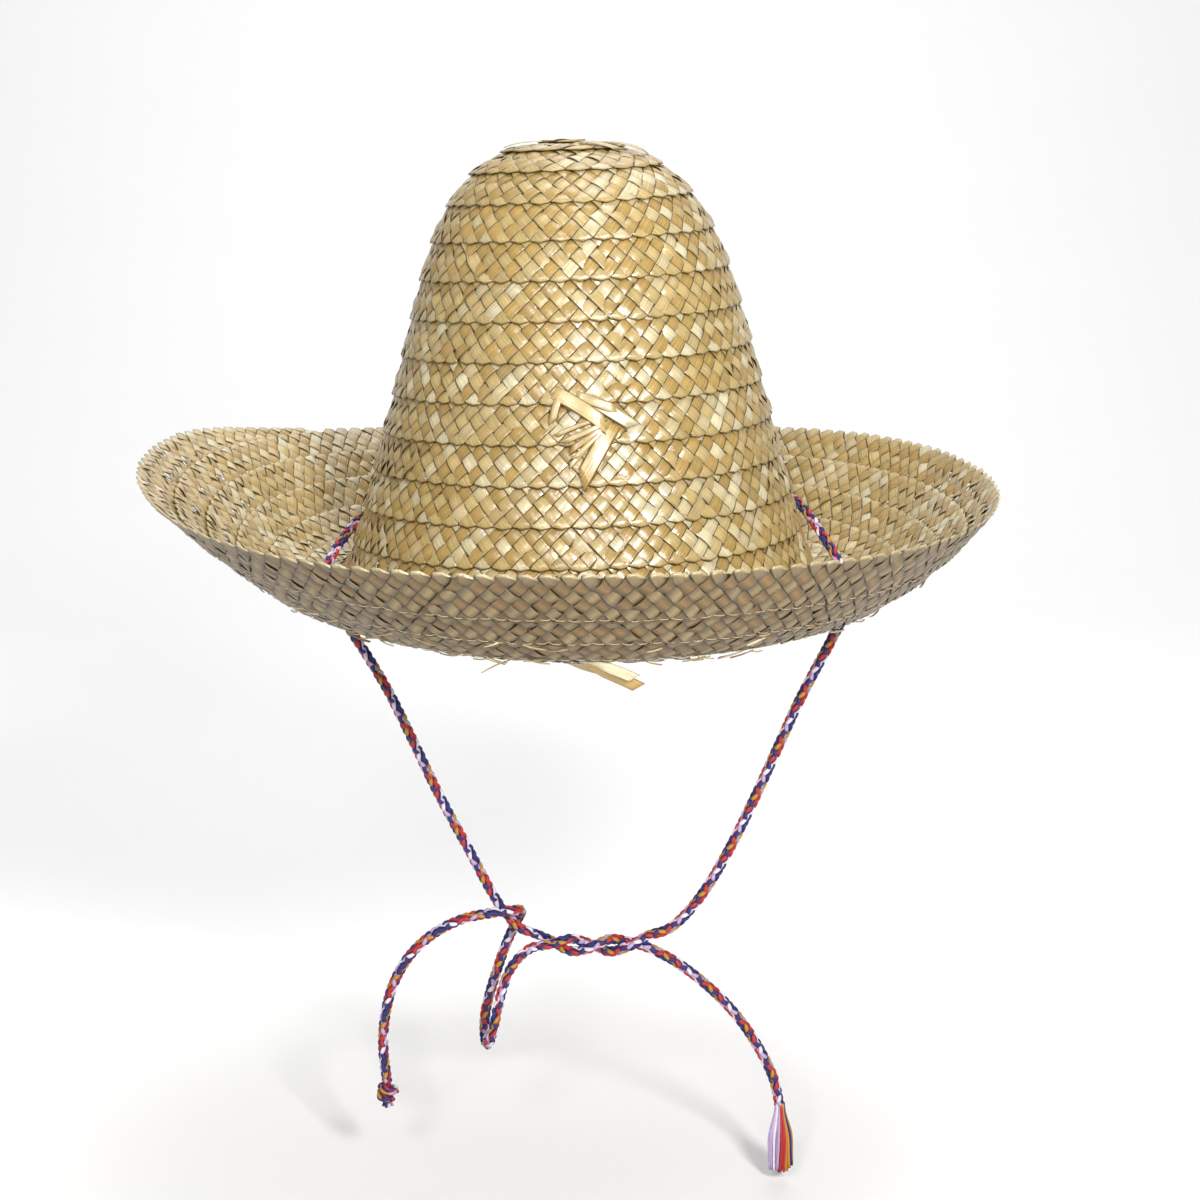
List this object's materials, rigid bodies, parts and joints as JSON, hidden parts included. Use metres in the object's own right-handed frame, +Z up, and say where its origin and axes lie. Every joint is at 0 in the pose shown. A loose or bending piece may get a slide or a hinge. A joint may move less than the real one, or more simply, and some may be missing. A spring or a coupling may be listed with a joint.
{
  "type": "straw sombrero",
  "caption": "Plaited straw hat with a tall conical crown, a wide upturned brim and a braided chin cord that passes through the brim at each side and hangs below it",
  "frame": {"origin": "centre of the head opening, at the crease where the crown meets the brim", "axes": "+Z up the crown, -Y to the front of the hat, +X to the left side of a person who wears it"},
  "size_m": [0.3378, 0.332, 0.4234],
  "materials": {
    "straw": "natural plaited straw, satin to glossy, each straw a slightly different gold, cream or grey-beige",
    "thread": "clear nylon sewing thread with a bright shine",
    "cord": "tubular braid of red, navy, white, lilac and gold-ochre yarns"
  },
  "bodies": {
    "root": {"crown_tip": "straw", "crown_round_01": "straw", "crown_round_02": "straw", "crown_round_03": "straw", "crown_round_04": "straw", "crown_round_05": "straw", "crown_round_06": "straw", "crown_round_07": "straw", "crown_round_08": "straw", "crown_round_09": "straw", "crown_round_10": "straw", "crown_round_11": "straw", "crown_round_12": "straw", "brim_round_01": "straw", "brim_round_02": "straw", "brim_round_03": "straw", "brim_round_04": "straw", "brim_round_05": "straw", "brim_round_06": "straw", "crown_splice_end": "straw", "brim_splice_end": "straw", "crown_seam_thread": "thread", "brim_seam_thread": "thread", "crown_cord": "cord", "chin_cord_left": "cord", "chin_cord_right": "cord", "chin_twist": "cord", "right_tail": "cord", "left_tail": "cord", "end_knot": "cord", "tassel": "cord"}
  },
  "joints": []
}
